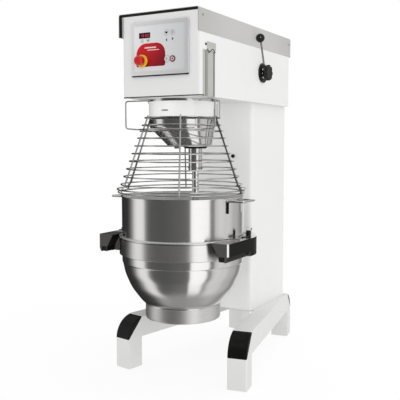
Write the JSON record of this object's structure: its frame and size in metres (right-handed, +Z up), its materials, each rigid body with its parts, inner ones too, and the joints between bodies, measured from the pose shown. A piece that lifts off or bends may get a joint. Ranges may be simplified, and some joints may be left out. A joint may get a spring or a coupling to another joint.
{
  "type": "commercial stand mixer",
  "caption": "Floor-standing planetary mixer with white casing, lifting stainless bowl, turning wire guard, speed lever and control panel.",
  "frame": {"origin": "on the floor at the middle of the overall plan box; the bowl and planetary axis stands 298 mm in front of it", "axes": "+Z up, +X to the operator's right seen from the front, front faces -Y"},
  "size_m": [0.6844, 1.1814, 1.6],
  "materials": {
    "white_paint": "semi-gloss powder coat",
    "cover_grey": "light grey powder coat",
    "black_foam": "matt foam strip",
    "cap_black": "glossy moulded",
    "pad_rubber": "matt",
    "galvanised": "zinc plated",
    "guide_grey": "satin",
    "panel_silver": "satin anodised",
    "panel_film": "printed film",
    "display_glass": "dark tinted window",
    "pcb": "board laminate",
    "key_film": "soft key",
    "start_grey": "soft key",
    "stop_red": "moulded",
    "estop_yellow": "moulded",
    "estop_red": "moulded",
    "polished_steel": "polished stainless",
    "bowl_steel": "circumferentially brushed stainless",
    "machined_steel": "machined",
    "cast_iron": "cast and machined",
    "motor_paint": "motor enamel",
    "belt_rubber": "matt",
    "seal_rubber": "lip seal",
    "yoke_dark": "dark textured coat",
    "brass": "machined bronze nut",
    "black_plastic": "moulded",
    "cable_black": "sheath"
  },
  "bodies": {
    "frame": {"base_frame": "white_paint", "leg_caps": "cap_black", "foot_pads": "pad_rubber", "column_shell": "white_paint", "column_rear_cover": "white_paint", "casing_screws": "galvanised", "head_shell": "white_paint", "head_floor": "white_paint", "side_guides": "guide_grey", "top_cover": "cover_grey", "cover_seal": "black_foam", "panel_frame": "panel_silver", "panel_faceplate": "panel_film", "display_window": "display_glass", "control_board": "pcb", "estop_collar": "estop_yellow", "collar_skirt": "white_paint", "ring_gear": "machined_steel", "drive_belt": "belt_rubber", "motor_housing": "motor_paint", "drive_frame": "cast_iron", "shaft_bearings": "machined_steel", "guard_rear": "polished_steel", "guard_sensor": "black_plastic", "lift_rails": "machined_steel", "lift_motor": "motor_paint", "speed_quadrant": "black_plastic", "mains_cable": "cable_black"},
    "planet": {"planet_housing": "polished_steel", "tool_bearings": "machined_steel", "shaft_seal": "seal_rubber", "main_shaft": "machined_steel", "main_gear": "machined_steel"},
    "tool": {"tool_shaft": "polished_steel", "bayonet_pin": "machined_steel", "beater": "polished_steel"},
    "layshaft": {"pinion_shaft": "machined_steel", "driven_pulley": "cast_iron"},
    "motor_rotor": {"motor_shaft": "machined_steel", "motor_pulley": "cast_iron"},
    "guard": {"guard_front": "polished_steel", "guard_hoop": "polished_steel"},
    "lift": {"lift_carriage": "cast_iron", "lift_nut": "brass", "bowl_yoke": "yoke_dark", "yoke_blocks": "pad_rubber", "bowl": "bowl_steel"},
    "screw": {"lift_screw": "machined_steel"},
    "clamp_right": {"bowl_clamp_right": "black_plastic"},
    "clamp_left": {"bowl_clamp_left": "black_plastic"},
    "speed_lever": {"lever_hub": "black_plastic", "lever_rod": "polished_steel", "lever_ball": "black_plastic"},
    "estop": {"estop_button": "estop_red"},
    "start": {"start_button": "start_grey"},
    "stop": {"stop_button": "stop_red"},
    "timer_minus": {"timer_minus_key": "key_film"},
    "timer_plus": {"timer_plus_key": "key_film"},
    "bowl_up": {"bowl_up_key": "key_film"},
    "bowl_down": {"bowl_down_key": "key_film"}
  },
  "joints": [
    {"name": "planet_spin", "type": "hinge", "parent": "frame", "child": "planet", "pos_m": [0, -0.2977, 1.15], "axis": [0, 0, 1], "continuous": true},
    {"name": "tool_spin", "type": "hinge", "parent": "planet", "child": "tool", "pos_m": [0.07568, -0.31657, 1], "axis": [0, 0, 1], "continuous": true},
    {"name": "layshaft_spin", "type": "hinge", "parent": "frame", "child": "layshaft", "pos_m": [0, -0.1477, 1.3], "axis": [0, 0, 1], "continuous": true},
    {"name": "motor_spin", "type": "hinge", "parent": "frame", "child": "motor_rotor", "pos_m": [0, 0.2223, 1.4], "axis": [0, 0, 1], "continuous": true},
    {"name": "guard_turn", "type": "hinge", "parent": "frame", "child": "guard", "pos_m": [0, -0.2977, 1.24], "axis": [0, 0, 1], "range_deg": [-115, 0]},
    {"name": "bowl_lift", "type": "slide", "parent": "frame", "child": "lift", "axis": [0, 0, 1], "range_m": [-0.2, 0]},
    {"name": "screw_spin", "type": "hinge", "parent": "frame", "child": "screw", "pos_m": [0, 0.1823, 0.5], "axis": [0, 0, 1], "range_deg": [-7200, 0]},
    {"name": "clamp_right_turn", "type": "hinge", "parent": "lift", "child": "clamp_right", "pos_m": [0.312, -0.2717, 0.66], "axis": [0, 0, 1], "range_deg": [0, 100]},
    {"name": "clamp_left_turn", "type": "hinge", "parent": "lift", "child": "clamp_left", "pos_m": [-0.312, -0.2717, 0.66], "axis": [0, 0, 1], "range_deg": [-100, 0]},
    {"name": "speed_lever_turn", "type": "hinge", "parent": "frame", "child": "speed_lever", "pos_m": [0.204, 0.1213, 1.393], "axis": [1, 0, 0], "range_deg": [-85, 12]},
    {"name": "estop_push", "type": "slide", "parent": "frame", "child": "estop", "axis": [0, 1, 0], "range_m": [0, 0.005]},
    {"name": "start_push", "type": "slide", "parent": "frame", "child": "start", "axis": [0, 1, 0], "range_m": [0, 0.0012]},
    {"name": "stop_push", "type": "slide", "parent": "frame", "child": "stop", "axis": [0, 1, 0], "range_m": [0, 0.0012]},
    {"name": "timer_minus_push", "type": "slide", "parent": "frame", "child": "timer_minus", "axis": [0, 1, 0], "range_m": [0, 0.0008]},
    {"name": "timer_plus_push", "type": "slide", "parent": "frame", "child": "timer_plus", "axis": [0, 1, 0], "range_m": [0, 0.0008]},
    {"name": "bowl_up_push", "type": "slide", "parent": "frame", "child": "bowl_up", "axis": [0, 1, 0], "range_m": [0, 0.0008]},
    {"name": "bowl_down_push", "type": "slide", "parent": "frame", "child": "bowl_down", "axis": [0, 1, 0], "range_m": [0, 0.0008]}
  ],
  "couplings": [
    {"joint": "tool_spin", "follows": "planet_spin", "ratio": -2.625},
    {"joint": "layshaft_spin", "follows": "planet_spin", "ratio": -4},
    {"joint": "motor_spin", "follows": "planet_spin", "ratio": -8.4898},
    {"joint": "screw_spin", "follows": "bowl_lift", "rad_per_m": 628.32}
  ]
}
